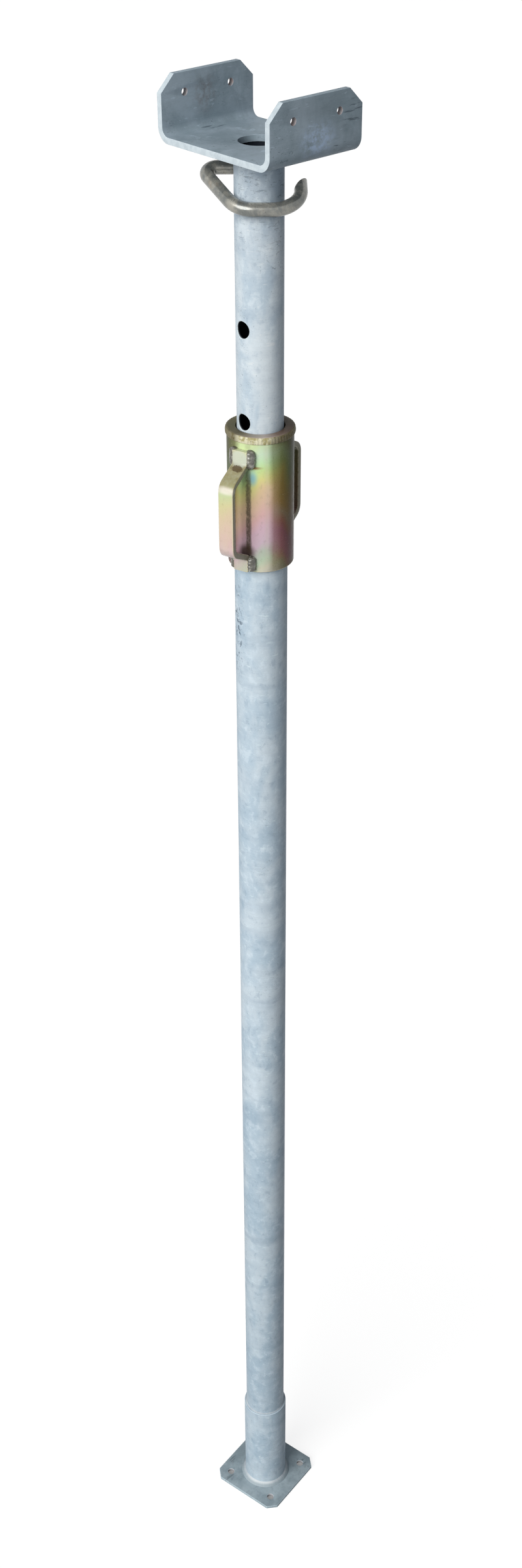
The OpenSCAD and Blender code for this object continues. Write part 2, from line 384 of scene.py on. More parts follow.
# %% What a finish can read
class Patterns:
    """Noise, marks and places on a piece, as nodes of one tree."""

    def add(self, kind, values=None, **settings):
        return add(self.tree, kind, values, **settings)

    def maths(self, what, a, b=0.0, c=0.0):
        return maths(self.tree, what, a, b, c)

    def times(self, a, b):
        return self.maths("MULTIPLY", a, b)

    def noise(self, scale, detail, rough, squeeze=(1, 1, 1), shift=0.0, twist=0.0):
        """From 0 to 1. A squeeze of 0.2 on an axis draws the pattern out five times there."""
        moved = self.add("ShaderNodeMapping", {"Vector": self.place, "Scale": squeeze,
                         "Location": (shift, shift * 0.7, shift * 1.3)})
        return self.add("ShaderNodeTexNoise", {"Vector": moved.outputs[0], "Scale": scale,
                        "Detail": detail, "Roughness": rough, "Distortion": twist}).outputs["Fac"]

    def between(self, value, low, high, out_low=0.0, out_high=1.0):
        """Turns low..high of a value into out_low..out_high, smoothly."""
        return self.add("ShaderNodeMapRange", {"Value": value, "From Min": low, "From Max": high,
                        "To Min": out_low, "To Max": out_high},
                        interpolation_type="SMOOTHSTEP").outputs[0]

    def mark(self, name):
        return self.add("ShaderNodeAttribute", attribute_name=name).outputs["Fac"]

    def vector(self, what, a, b=(0, 0, 0), output=0):
        return self.add("ShaderNodeVectorMath", {0: a, 1: b}, operation=what).outputs[output]

    def spot(self, centre, size, soft):
        """1 at a place on the piece, falling to 0 at its rim; size is (x, y, z) in metres."""
        off = self.vector("DIVIDE", self.vector("SUBTRACT", self.place, centre), size)
        return self.between(self.vector("LENGTH", off, output="Value"), 1.0 - soft, 1.0, 1.0, 0.0)

    def height(self):
        return self.add("ShaderNodeSeparateXYZ", {0: self.place}).outputs["Z"]

    def radius(self):
        flat = self.vector("MULTIPLY", self.place, (1, 1, 0))
        return self.vector("LENGTH", flat, output="Value")

    def ramp(self, value, *stops):
        """stops are (place, grey from 0 to 1) or (place, red, green, blue from 0 to 255)."""
        made = self.add("ShaderNodeValToRGB", {0: value})
        elements = made.color_ramp.elements
        while len(elements) < len(stops):
            elements.new(0.5)
        for element, (position, *colour) in zip(elements, stops):
            element.position = position
            element.color = (*(shade(*colour) if len(colour) == 3 else colour * 3), 1)
        return made.outputs[0]


# %% A finish and its coats
class Finish(Patterns):
    """A material, and the colour that it has so far."""

    def __init__(self, name, metallic=0.0, roughness=0.5, specular=0.12):
        self.material = bpy.data.materials.new(name)
        self.material.use_nodes = True
        self.tree = self.material.node_tree
        self.shader = self.tree.nodes["Principled BSDF"]
        for key, value in (("Metallic", metallic), ("Roughness", roughness),
                           ("Specular IOR Level", specular)):
            self.shader.inputs[key].default_value = value
        self.place = self.add("ShaderNodeTexCoord").outputs["Object"]

    def mixed(self, how_much, first, second):
        return mixed(self.tree, how_much, first, second)

    def coat(self, how_much, colour, most=None, blend="MIX"):
        """Lays a colour over the finish, where how_much is 1, and no more than most."""
        if most is not None:
            how_much = self.times(how_much, most)
        self.colour = mixed(self.tree, how_much, self.colour, colour, blend)

    def surface(self, gloss, rough, *layers):
        """gloss drives the roughness; layers are (height, depth in metres, strength)."""
        self.tree.links.new(self.between(gloss, 0.3, 0.7, *rough), self.shader.inputs["Roughness"])
        normal = None
        for height, depth, strength in layers:
            values = {"Height": height, "Distance": depth, "Strength": strength}
            if normal:
                values["Normal"] = normal
            normal = self.add("ShaderNodeBump", values).outputs[0]
        self.tree.links.new(normal, self.shader.inputs["Normal"])

    def done(self):
        self.tree.links.new(self.colour, self.shader.inputs["Base Color"])
        print(f"{self.material.name}: {len(self.tree.nodes)} nodes")
        return self.material


# %% Dull and bright zinc
def zinc(name, pale, middle, dark, cloud, spangle, bands, marks, flecks, dashes,
         rough=(0.46, 0.62), specular=0.06):
    """Clouds of pale on middle; the amounts from spangle to dashes go from 0 to 1."""
    pale, middle, dark = shade(*pale), shade(*middle), shade(*dark)
    f = Finish(name, specular=specular)
    clouds = f.noise(cloud, 5, 0.6, (1, 1, 0.6), 3.1, 0.4)
    f.colour = f.mixed(f.between(clouds, 0.38, 0.62), middle, pale)
    bloom = f.noise(95, 5, 0.65, (1, 1, 0.8), 5.2, 0.25)
    f.coat(f.between(bloom, 0.5, 0.66), brighter(pale, 1.12), spangle)
    f.coat(f.between(bloom, 0.46, 0.3), dark, spangle * 0.6)
    lines = f.noise(620, 3, 0.6, (0.14, 0.14, 1), 10.3)
    f.coat(f.between(lines, 0.52, 0.7, 0, 0.1), dark)
    f.coat(f.between(lines, 0.48, 0.3, 0, 0.09), brighter(pale, 1.15))
    dash = f.noise(230, 3, 0.5, (0.4, 0.4, 1.3), 2.6, 0.2)
    f.coat(f.between(dash, 0.64, 0.72), brighter(pale, 1.35), dashes)
    rings = f.noise(26, 3, 0.5, (0.35, 0.35, 1.5), 7.7, 0.3)
    f.coat(f.between(rings, 0.45, 0.8), dark, bands)
    where = f.between(f.noise(24, 3, 0.6, (1, 1, 0.6), 12.4), 0.5, 0.66)
    strokes = f.noise(520, 2, 0.45, (0.5, 0.5, 0.9), 1.9, 1.6)
    stroke = f.times(f.between(strokes, 0.63, 0.7), where)
    rubs = f.noise(1300, 2, 0.5, (0.1, 0.1, 1), 4.9)
    rub = f.times(f.between(rubs, 0.6, 0.72), f.between(where, 0, 1, 0.25, 0.8))
    f.coat(rub, dark, marks * 0.4)
    f.coat(stroke, brighter(dark, 0.35), marks)
    specks = f.between(f.noise(620, 2, 0.4, shift=5.5), 0.66, 0.74)
    f.coat(specks, brighter(dark, 0.6), flecks)
    # Rounded corners painted paler: bare metal from wear, and a painted highlight
    wear_and_rim_highlight = f.between(f.noise(260, 3, 0.6, shift=9.1), 0.3, 0.55, 0.35, 0.95)
    f.coat(f.times(f.mark("edge"), wear_and_rim_highlight), brighter(pale, 1.2))
    f.surface(clouds, rough, (clouds, 0.0007, 0.4), (bloom, 0.00008, 0.25),
              (f.noise(900, 3, 0.6), 0.00012, 0.3), (stroke, -0.0001, 0.5))
    return f


# %% Tubes and plate
def outer_finish():
    """Darker towards the foot of the tube, and the left side is scraped under the nut."""
    f = zinc("galvanised tube", (206, 220, 230), (182, 202, 217), (138, 161, 182),
             cloud=20, spangle=0.62, bands=0.4, marks=0.35, flecks=0.12, dashes=0.35)
    # Darker towards the foot, by height
    f.coat(f.between(f.height(), 0.1, 1.15, 1.0, 0.0), (0.8, 0.82, 0.83), blend="MULTIPLY")
    scrapes = f.between(f.noise(250, 4, 0.6, (1, 1, 0.6), 8.3, 0.9), 0.55, 0.62)
    side = f.spot((-0.0268, 0.0098, 1.53), (0.019, 0.019, 0.08), 0.9)
    f.coat(f.times(scrapes, side), shade(74, 90, 108))
    return f.done()


def plate_finish():
    """Darker than the tubes, with dark scratches across the corners that wear most."""
    f = zinc("galvanised plate", (176, 192, 200), (152, 169, 178), (104, 120, 130),
             cloud=26, spangle=0.35, bands=0.0, marks=0.5, flecks=0.2, dashes=0.2)
    strokes = f.between(f.noise(240, 3, 0.6, (0.25, 1, 1), 6.3, 0.4), 0.52, 0.62)
    for where, size in (((-0.06, 0.022, 0.005), (0.024, 0.008, 0.02)),
                        ((-0.03, 0.052, 0.005), (0.012, 0.014, 0.02)),
                        ((0.05, -0.03, 0.005), (0.01, 0.016, 0.02))):
        f.coat(f.times(strokes, f.spot(where, size, 0.7)), shade(66, 76, 82), 0.5)
    f.coat(f.mark("bore"), shade(186, 178, 180), 0.6)
    return f.done()


def inner_finish():
    """Dull patches and a painted shade from the head at the top, scuffs where the hook hangs, and
    painted black shade inside.
    """
    f = zinc("bright zinc tube", (222, 233, 240), (196, 213, 226), (146, 167, 188),
             cloud=26, spangle=0.45, bands=0.25, marks=0.6, flecks=0.3, dashes=0.3)
    up = f.between(f.height(), 1.9, 1.98)
    # Patches under the head: dull zinc, and a painted shade from the head
    patches = f.between(f.noise(60, 4, 0.65, (1, 1, 0.7), 13.1, 0.3), 0.36, 0.6)
    f.coat(f.times(up, f.between(patches, 0, 1, 0.12, 0.5)), shade(148, 166, 184))
    scuffs = f.between(f.noise(420, 3, 0.65, (0.3, 0.3, 1), 14.9, 0.5), 0.56, 0.68)
    f.coat(f.times(scuffs, up), shade(84, 100, 118), 0.45)
    # The bore is painted nearly black: painted shade inside the tube
    f.coat(f.between(f.radius(), 0.0222, 0.0244, 1.0, 0.0), shade(30, 36, 44))
    return f.done()


galvanised, plate_zinc, bright_zinc = outer_finish(), plate_finish(), inner_finish()

# %% [markdown]
# ## The foot
# The foot is a square plate with cut corners and four bolt holes. A short
# sleeve stands on it, and the outer tube is pressed into the sleeve. The CAD
# plate has the right outline already, so a copy of it only needs its corners
# broken, as grinding and a coat of zinc leave them. The sleeve and the tube
# are turned outlines.

# %% Copy a solid and break its edges
def eased_copy(node, name, break_by=0.0007, bores=()):
    """bores are (point, axis, radius): faces inside them are marked "bore"."""
    bm = bmesh.new()
    bm.from_mesh(frame["nodes"][node].data)
    bmesh.ops.remove_doubles(bm, verts=bm.verts, dist=SEWN)
    bmesh.ops.dissolve_limit(bm, angle_limit=math.radians(0.6), verts=bm.verts, edges=bm.edges)
    edge, bore = bm.faces.layers.float.new("edge"), bm.faces.layers.float.new("bore")
    sharp = [e for e in bm.edges if len(e.link_faces) == 2 and e.calc_face_angle() > 0.6]
    made = bmesh.ops.bevel(bm, geom=sharp, offset=break_by, offset_type="OFFSET", segments=3,
                           profile=0.6, affect="EDGES", clamp_overlap=True)
    for face in made["faces"]:
        face[edge] = 1
    for face in bm.faces:
        middle = face.calc_center_median()
        for point, axis, radius in bores:
            off = (middle - Vector(point)).cross(Vector(axis)).length
            if off < radius + break_by * 0.6 and abs(face.normal.dot(Vector(axis))) < 0.9:
                face[bore] = 1
    return report(new_piece(name, bm, 32, fix=False))


# %% Foot plate
plate_top = span("base_plate")[1]
holes = mounts["base_holes"]["dims"]
BASE_TURN = math.radians(11)
bolt_holes = [((*polar(holes["pcd_mm"] / 2000, BASE_TURN + math.radians(45 + 90 * i)), 0),
               (0, 0, 1), holes["hole_r_mm"] / 1000) for i in range(4)]
foot_plate = eased_copy("base_plate", "foot_plate", 0.0006, bolt_holes)

# %% Foot sleeve and outer tube
foot, rim, sleeve_r = span("base_sleeve")
foot_sleeve = lathe("foot_sleeve", rounded(
    [(sleeve_r - 0.003, foot), (sleeve_r, foot), (sleeve_r, rim), (sleeve_r - 0.003, rim)], 0.0009))

tube_foot, tube_top, tube_r = span("outer_tube")
WALL = 0.0029                          # of both tubes
# The thread on the tube: its pitch, its two ends and its core radius
THREAD = dict(pitch=0.008, foot=1.6115, top=1.7325, core=tube_r - 0.0008)
outer_tube = lathe("outer_tube_body", rounded(
    [(tube_r - WALL, tube_foot), (tube_r, tube_foot), (tube_r, THREAD["foot"], 0.0004),
     (THREAD["core"], THREAD["foot"] + 0.0012, 0.0004), (THREAD["core"], tube_top),
     (tube_r - WALL, tube_top)], 0.0007))

# %% [markdown]
# ## One tree for every weld
# A weld bead is a soft ridge along the joint, with a ripple for each small
# step of the torch and lumps where it slowed down. The tree sweeps a profile
# along a guide line, pushes its crown out with a sine for the ripples and
# noise for the lumps, and can taper the ends. The ring at the foot, the run
# of zinc at the rim of the sleeve, the rings at the head and nut, and the
# beads beside the handles are all made with it.

# %% Weld bead tree
def bead_tree():
    tree, given = new_tree("weld bead", path="object", profile="object", ripples="number",
                           ripple_depth="number", lump_size="number", lump_depth="number",
                           taper="number", seed="number", finish="material")
    path, profile = (curve_of(tree, given[key]) for key in ("path", "profile"))
    upright = add(tree, "GeometryNodeSetCurveNormal", {"Curve": path}, mode="Z_UP")
    part = tree.nodes.new("GeometryNodeSplineParameter").outputs["Factor"]
    kept = add(tree, "GeometryNodeStoreNamedAttribute", {"Geometry": upright.outputs[0],
               "Name": "along", "Value": part}, data_type="FLOAT", domain="POINT")
    off_middle = maths(tree, "ABSOLUTE", maths(tree, "MULTIPLY_ADD", part, 2, -1))
    fall = maths(tree, "MULTIPLY", maths(tree, "POWER", off_middle, 5), given["taper"])
    size = maths(tree, "SQRT", maths(tree, "SUBTRACT", 1.02, fall))
    swept = add(tree, "GeometryNodeCurveToMesh", {"Curve": kept.outputs[0],
                "Profile Curve": profile, "Scale": size, "Fill Caps": True})
    along, crown = (add(tree, "GeometryNodeInputNamedAttribute", {"Name": name}).outputs[0]
                    for name in ("along", "crown"))
    place = tree.nodes.new("GeometryNodeInputPosition").outputs[0]
    rough = add(tree, "ShaderNodeTexNoise", {"Vector": place, "W": given["seed"], "Detail": 3.0,
                "Scale": maths(tree, "DIVIDE", 1.0, given["lump size"])}, noise_dimensions="4D")
    lump = maths(tree, "SUBTRACT", rough.outputs["Fac"], 0.5)
    phase = maths(tree, "MULTIPLY_ADD", along, maths(tree, "MULTIPLY", given["ripples"], math.tau),
                  maths(tree, "MULTIPLY", lump, 4.0))
    push = maths(tree, "MULTIPLY_ADD", maths(tree, "SINE", phase), given["ripple depth"],
                 maths(tree, "MULTIPLY", lump, given["lump depth"]))
    push = maths(tree, "MULTIPLY", push, crown)
    normal = tree.nodes.new("GeometryNodeInputNormal").outputs[0]
    away = add(tree, "ShaderNodeVectorMath", {0: normal, "Scale": push}, operation="SCALE")
    pushed = add(tree, "GeometryNodeSetPosition", {"Geometry": swept.outputs[0],
                 "Offset": away.outputs[0]})
    return end_tree(tree, pushed.outputs[0], given["finish"])


weld_tree = bead_tree()

# %% Weld along a line
def point_outwards(piece, sharp, sew=False):
    """For a mesh that a tree has made: points all faces outwards and looks for holes."""
    bm = bmesh.new()
    bm.from_mesh(piece.data)
    if sew:
        bmesh.ops.remove_doubles(bm, verts=bm.verts, dist=SEWN)
    bmesh.ops.recalc_face_normals(bm, faces=bm.faces)
    print("open edges:", sum(len(e.link_faces) != 2 for e in bm.edges))
    bm.to_mesh(piece.data)
    bm.free()
    smooth(piece.data, sharp)
    return report(piece)


def weld(name, lines, outline, finish, ripples, ripple_depth, lump_size, lump_depth,
         taper=0.0, seed=1.0):
    """outline is (out, up, crown) round the bead; lines are (points, closed)."""
    path = guide(name + " path", lines)
    profile = guide(name + " profile", [([(out, -up, 0) for out, up, _ in outline], True)],
                    crown=[c for _, _, c in outline])
    piece = run_tree(weld_tree, name, path=path, profile=profile, ripples=float(ripples),
                     ripple_depth=ripple_depth, lump_size=lump_size, lump_depth=lump_depth,
                     taper=taper, seed=seed, finish=finish)
    put_away(path, profile)
    return point_outwards(piece, 60, sew=True)


def ring(radius, height, count=360):
    """A closed guide round the Z axis."""
    return [(*polar(radius, math.tau * i / count), height) for i in range(count)], True


def fillet(leg, up=1, swell=0.12):
    """A bead in a corner: two legs and a slightly swollen face between them."""
    face = []
    for t in (k / 10 for k in range(11)):
        bulge = 1 + swell * 4 * t * (1 - t)
        face.append((leg * (1 - t) * bulge, up * leg * t * bulge, math.sin(math.pi * t)))
    return [(0, 0, 0)] + face


print("a fillet has", len(fillet(0.005)), "points")

# %% Foot weld, and the run of zinc at the rim of the sleeve
def weld_finish():
    """A painted highlight on its front-left side, and as dull as the plate at its outer edge."""
    f = zinc("zinc over a weld", (196, 205, 211), (175, 186, 195), (136, 148, 157),
             cloud=70, spangle=0.2, bands=0.1, marks=0.2, flecks=0.25, dashes=0.0)
    # Painted highlight on the front left of the foot weld
    f.coat(f.spot((-0.033, -0.018, 0.008), (0.034, 0.034, 0.03), 0.6), shade(226, 231, 233), 0.7)
    f.coat(f.between(f.radius(), sleeve_r + 0.0012, sleeve_r + 0.0045, 0, 0.8),
           shade(150, 166, 174))
    return f.done()


weld_zinc = weld_finish()
foot_weld = weld("foot_weld", [ring(sleeve_r, plate_top)],
                 fillet(span("base_weld")[1] - plate_top), weld_zinc,
                 62, 0.00006, 0.009, 0.0009, seed=4.0)
rim_run = weld("sleeve_rim_run", [ring(tube_r, rim)], fillet(0.0016), weld_zinc,
               40, 0.00004, 0.008, 0.0005, seed=6.0)

# %% [markdown]
# ## The inner tube is a row
# The inner tube has a pair of pin holes every pitch, all the same. So only
# one length is meshed, with its two holes and their eased rims.
# Geometry Nodes put a copy at every pitch, join them to the plain ends and
# merge the seams, which leaves one closed tube. A drilled wall is a patch:
# rings of quads that start round, at the hole, and end square, in the grid.

# %% One wall of a drilled length
inner_foot, inner_top, INNER_R = span("inner_tube")
INNER_BORE, COLUMNS = INNER_R - WALL, 96
PATCH = 8                                    # columns each side of a hole
ROWS = [k * 0.002 for k in range(-6, 7)]     # heights of the patch
NEAR_PATCH = 0.03                            # next line of the grid above and below it


def wall_point(radius, across, height, side):
    return side * math.sqrt(radius * radius - across * across), side * across, height


def drilled_wall(bm, edge, radius, half, inward, ease=0.0005):
    """One wall of a drilled length; returns the rims of its two holes."""
    heights = [-half, -NEAR_PATCH] + ROWS + [NEAR_PATCH, half]
    for i in range(COLUMNS):
        a, b = (math.tau * (i + k) / COLUMNS for k in (0, 1))
        in_patch = (i + PATCH) % (COLUMNS // 2) < 2 * PATCH
        for low, high in zip(heights, heights[1:]):
            if in_patch and low >= ROWS[0] and high <= ROWS[-1]:
                continue
            bm.faces.new([bm.verts.new((*polar(radius, t), z))
                          for t, z in ((a, low), (b, low), (b, high), (a, high))])
    columns = [radius * math.sin(math.tau * k / COLUMNS) for k in range(-PATCH, PATCH + 1)]
    border = ([(y, ROWS[0]) for y in columns] + [(columns[-1], z) for z in ROWS[1:]]
              + [(y, ROWS[-1]) for y in columns[-2::-1]] + [(columns[0], z) for z in ROWS[-2:0:-1]])
    rims = []
    for side in (1, -1):
        rings = []
        for share in (0.0, 0.3, 0.62, 1.0):
            line = []
            for y, z in border:
                far = math.hypot(y, z)
                out = pin_radius + ease + (far - pin_radius - ease) * share
                line.append(bm.verts.new(wall_point(radius, y / far * out, z / far * out, side)))
            rings.append(line)
        eased = []
        for y, z in border:
            far = math.hypot(y, z)
            x, across, up = wall_point(radius, y / far * pin_radius, z / far * pin_radius, side)
            eased.append(bm.verts.new((x + side * inward * ease, across, up)))
        rings.insert(0, eased)
        for n, (inner, outer) in enumerate(zip(rings, rings[1:])):
            for k in range(len(border)):
                m = (k + 1) % len(border)
                face = bm.faces.new((inner[k], outer[k], outer[m], inner[m]))
                face[edge] = float(n == 0)
        rims.append(eased)
    return rims


print("the patch round a hole has", len(ROWS), "rows")

# %% One drilled length
def drilled_length():
    bm = bmesh.new()
    edge = bm.faces.layers.float.new("edge")
    outside = drilled_wall(bm, edge, INNER_R, pin_pitch / 2, -1)
    inside = drilled_wall(bm, edge, INNER_BORE, pin_pitch / 2, 1)
    for rim_out, rim_in in zip(outside, inside):
        for k in range(len(rim_out)):
            m = (k + 1) % len(rim_out)
            bm.faces.new((rim_out[k], rim_out[m], rim_in[m], rim_in[k]))
    bm.transform(Matrix.Rotation(pin_turn, 4, "Z"))
    return report(new_piece("drilled length", bm, fix=False))


one_length = drilled_length()

# %% Plain ends of the inner tube
def plain_ends():
    bm = bmesh.new()
    edge = bm.faces.layers.float.new("edge")
    lowest, highest = first_pin - pin_pitch * (pin_count - 0.5), first_pin + pin_pitch / 2
    for near, end in ((lowest, inner_foot), (highest, inner_top)):
        corners = [(INNER_R, near), (INNER_R, end), (INNER_BORE, end), (INNER_BORE, near)]
        line = [(*corners[0], 0)]
        for i in (1, 2):
            line += [(*point, i) for point in arc(*corners[i - 1:i + 2], 0.0007, 3)]
        line.append((*corners[3], 0))
        for i in range(COLUMNS):
            a, b = (math.tau * (i + k) / COLUMNS + pin_turn for k in (0, 1))
            for p, q in zip(line, line[1:]):
                face = bm.faces.new([bm.verts.new((*polar(r, t), z))
                                     for t, (r, z, _) in ((a, p), (b, p), (b, q), (a, q))])
                face[edge] = float(p[2] > 0 and p[2] == q[2])
    return report(new_piece("plain ends", bm, fix=False))


ends = plain_ends()

# %% Tree that sets the lengths in a row
def row_tree():
    tree, given = new_tree("row of drilled lengths", drilled_length="object", plain_ends="object",
                           count="count", pitch="number", first_hole="number", finish="material")
    start = add(tree, "ShaderNodeCombineXYZ", {"Z": given["first hole"]})
    step = add(tree, "ShaderNodeCombineXYZ", {"Z": maths(tree, "MULTIPLY", given["pitch"], -1)})
    line = add(tree, "GeometryNodeMeshLine", {"Count": given["count"],
               "Start Location": start.outputs[0], "Offset": step.outputs[0]}, mode="OFFSET")
    copies = add(tree, "GeometryNodeInstanceOnPoints", {"Points": line.outputs[0],
                 "Instance": shape_of(tree, given["drilled length"])})
    whole = add(tree, "GeometryNodeJoinGeometry")
    for part in (shape_of(tree, given["plain ends"]), copies.outputs[0]):
        tree.links.new(part, whole.inputs[0])
    real = add(tree, "GeometryNodeRealizeInstances", {"Geometry": whole.outputs[0]})
    sewn = add(tree, "GeometryNodeMergeByDistance", {"Geometry": real.outputs[0], "Distance": 5e-6})
    return end_tree(tree, sewn.outputs[0], given["finish"])


row = run_tree(row_tree(), "inner_tube_drilled", drilled_length=one_length, plain_ends=ends,
               count=pin_count, pitch=pin_pitch, first_hole=first_pin, finish=bright_zinc)
put_away(one_length, ends)
inner_tube = point_outwards(row, 40)

# %% [markdown]
# ## The U head
# The head is one bent plate with cut corners, a hole in the middle of the
# seat and two nail holes in each flange. It is darker than the tubes, with
# pale cut edges where the zinc ran off thick. The eased copy keeps the bends.
# Its finish adds the marks of use to the clouds: a pale blue patch, a brown
# stain, and dark scratches near the corners and the bends.

# %% Finish of the head
head_foot, head_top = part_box("head_bracket")[0].z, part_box("head_bracket")[1].z
seat = mounts["head_seat"]["pos_m"][2]


def head_finish():
    f = zinc("dark zinc head", (166, 182, 194), (146, 163, 174), (104, 120, 128),
             cloud=24, spangle=0.25, bands=0.2, marks=0.5, flecks=0.12, dashes=0.5,
             rough=(0.44, 0.6), specular=0.08)
    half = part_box("head_bracket")[1].y
    fine = f.between(f.noise(160, 4, 0.65, shift=2.2), 0.35, 0.65)
    blue = f.spot((0.002, -half, seat + 0.014), (0.03, 0.012, 0.022), 0.9)
    f.coat(f.times(blue, fine), shade(186, 208, 236), 0.95)
    brown = f.spot((-0.004, half - 0.006, seat + 0.03), (0.02, 0.01, 0.024), 0.9)
    f.coat(f.times(brown, fine), shade(118, 102, 96), 0.5)
    strokes = f.between(f.noise(640, 2, 0.5, (0.1, 0.5, 1), 8.2, 0.2), 0.58, 0.66)
    for where, size in (((0.046, -half, head_top - 0.022), (0.018, 0.01, 0.02)),
                        ((0.022, -half, seat + 0.004), (0.026, 0.01, 0.009)),
                        ((0.0, half - 0.012, seat + 0.001), (0.026, 0.009, 0.007))):
        f.coat(f.times(strokes, f.spot(where, size, 0.6)), shade(58, 68, 78), 0.55)
    f.coat(f.times(f.mark("cut"), f.between(fine, 0, 1, 0.75, 1.0)), shade(214, 226, 233))
    f.coat(f.times(f.mark("bore"), f.between(fine, 0, 1, 0.5, 1.0)), shade(176, 162, 160))
    return f.done()


head_zinc = head_finish()

# %% Head and its weld
NAIL_R, NAIL_X = 0.0035, 0.0285
CUT_REACH = 0.018                      # a corner cut lies this near to the end of a flange


def mark_cuts(piece, half):
    """Marks the sawn ends and corner cuts of the flanges, which carry thick zinc."""
    numbers(piece.data, "cut", "FACE",
            [float(abs(face.normal.x) > 0.5 and abs(face.center.x) > half - CUT_REACH)
             for face in piece.data.polygons])


nail_height = mounts["nail_holes_rear"]["pos_m"][2]
head = eased_copy("head_bracket", "u_head", 0.0009,
                  [((x, 0, nail_height), (0, 1, 0), NAIL_R) for x in (-NAIL_X, NAIL_X)])
mark_cuts(head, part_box("head_bracket")[1].x)
head_weld = weld("head_weld_ring", [ring(INNER_R + 0.0001, span("head_weld")[1])],
                 fillet(0.0048, -1), weld_zinc, 48, 0.00018, 0.005, 0.0006, seed=7.0)

# %% [markdown]
# ## The nut
# The nut is a sleeve with a thread in its lowest part and a ring welded on
# top, where the pin rests. Yellow passivation leaves a film on it that runs
# from pink near the foot, through gold, to green at the top. Two colour ramps
# hold the film, read by height: one for sides in the light and a darker one
# for the rest. Ramps read by the angle round the axis choose between the two
# and deepen the far sides, so part of the light and dark of the nut is in its
# colour and turns with it. Noise shakes all the ramps. The handles and the
# ring have the same bath, with paler and browner colours.

# %% Film of the bath
nut_foot, sleeve_top, nut_r = span("nut_sleeve")
ring_foot, ring_top, _ = span("nut_top_ring")
# From the foot of the nut to its top, where light falls and where it doesn't
BRIGHT_FILM = [(0.0, 218, 216, 204), (0.06, 222, 220, 196), (0.11, 202, 222, 194),
               (0.17, 204, 212, 198), (0.23, 226, 202, 216), (0.35, 232, 198, 212),
               (0.44, 238, 196, 194), (0.52, 238, 204, 182), (0.62, 236, 210, 168),
               (0.7, 230, 226, 152), (0.77, 208, 234, 162), (0.83, 206, 240, 190),
               (0.9, 212, 236, 206), (1.0, 208, 226, 172)]
DARK_FILM = [(0.0, 148, 142, 122), (0.07, 142, 136, 104), (0.12, 150, 118, 96),
             (0.17, 150, 100, 104), (0.3, 142, 90, 98), (0.36, 142, 96, 80),
             (0.44, 140, 120, 92), (0.52, 142, 116, 66), (0.64, 136, 116, 60),
             (0.74, 132, 126, 68), (0.82, 118, 128, 78), (0.9, 124, 136, 98),
             (1.0, 112, 112, 74)]


def angle_round(f):
    """The angle round the Z axis from 0 to 1, starting at the seam."""
    moved = f.add("ShaderNodeMapping", {"Vector": f.place,
                  "Rotation": (0, 0, -math.radians(SEAM + 180))})
    parts = f.add("ShaderNodeSeparateXYZ", {0: moved.outputs[0]}).outputs
    return f.maths("MULTIPLY_ADD", f.maths("ARCTAN2", parts["Y"], parts["X"]), 1 / math.tau, 0.5)


def bath(f):
    """The angle round the nut, the noise that shakes it, and the painted shade there, from 0 where
    painted lit to 1.
    """
    wobble = f.maths("SUBTRACT", f.noise(22, 3, 0.5, (1, 1, 0.6), 4.4, 0.5), 0.5)
    around = f.maths("MULTIPLY_ADD", wobble, 0.04, angle_round(f))
    # Painted light and shade: 0 keeps the lit film in a band at the front left and one at the back,
    # 1 the shaded film
    dim = f.ramp(around, (0.0, 1), (0.115, 0.9), (0.15, 0), (0.284, 0), (0.312, 0.75),
                 (0.355, 1), (0.7, 1), (0.76, 0.1), (0.86, 0.1), (0.9, 0.9), (1.0, 1))
    return around, wobble, dim


def film(f, around, wobble, dim):
    """Colour of the film; it comes early on some sides, and painted shade darkens it on others."""
    up = f.maths("DIVIDE", f.maths("SUBTRACT", f.height(), nut_foot), ring_top - nut_foot)
    early = f.ramp(around, (0.15, 1), (0.21, 0.5), (0.255, 0), (0.36, 0), (0.4, 0.7), (0.5, 1))
    read = f.maths("MULTIPLY_ADD", early, 0.13, f.maths("MULTIPLY_ADD", wobble, 0.22, up))
    # Painted shade by the angle round the nut, darkest near its left and right outlines as the
    # camera sees them
    painted_shade_round = f.ramp(around, (0.0, 0.36), (0.05, 0.45), (0.12, 1), (0.34, 1), (0.395, 0.7),
                  (0.43, 0.4), (0.47, 0.26), (0.6, 0.5), (0.68, 0.55), (0.76, 1), (0.9, 1),
                  (1.0, 0.36))
    both = f.mixed(dim, f.ramp(read, *BRIGHT_FILM), f.ramp(read, *DARK_FILM))
    return mixed(f.tree, 1.0, both, painted_shade_round, "MULTIPLY")


print("the film has", len(BRIGHT_FILM), "bright colours and", len(DARK_FILM), "dark ones")

